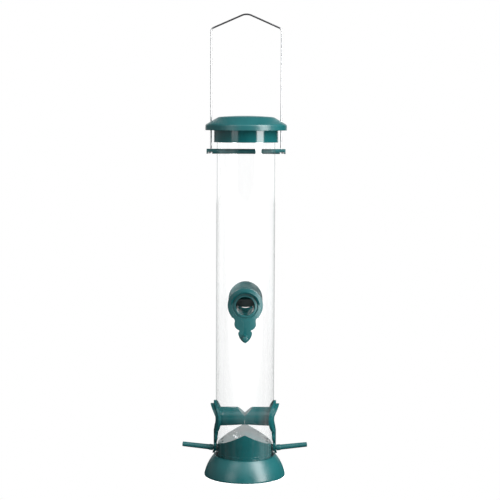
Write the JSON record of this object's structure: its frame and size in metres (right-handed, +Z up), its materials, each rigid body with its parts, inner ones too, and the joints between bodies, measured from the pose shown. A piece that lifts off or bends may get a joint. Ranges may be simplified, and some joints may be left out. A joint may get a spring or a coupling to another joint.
{
  "type": "hanging tube bird feeder",
  "caption": "Clear tube seed feeder on a flared foot, with hooded ports and perches and a domed lid that slides up a wire hanger.",
  "frame": {"origin": "on the ground under the tube's axis, at the centre of the foot's rim", "axes": "+Z up along the tube; +X to the right, along the cross bar and the lower pair of ports; -Y to the front, where one upper port faces"},
  "size_m": [0.138, 0.138, 0.5044],
  "materials": {
    "green_plastic": "smooth moulded plastic, dark blue-green, glossy",
    "clear_tube": "clear extruded plastic tube, polished",
    "galvanised_wire": "drawn zinc-plated spring wire"
  },
  "bodies": {
    "feeder": {"base": "green_plastic", "tube": "clear_tube", "port_front": "green_plastic", "port_rear": "green_plastic", "port_left": "green_plastic", "port_right": "green_plastic", "perch_front": "green_plastic", "perch_rear": "green_plastic", "perch_left": "green_plastic", "perch_right": "green_plastic"},
    "hanger": {"hanger_bar": "green_plastic", "hanger_wire": "galvanised_wire"},
    "lid": {"lid": "green_plastic"}
  },
  "joints": [
    {"name": "hanger_swing", "type": "hinge", "parent": "feeder", "child": "hanger", "pos_m": [0, 0, 0.3565], "axis": [1, 0, 0], "range_deg": [-5.5, 5.5]},
    {"name": "lid_slide", "type": "slide", "parent": "hanger", "child": "lid", "axis": [0, 0, 1], "range_m": [0, 0.093]}
  ]
}
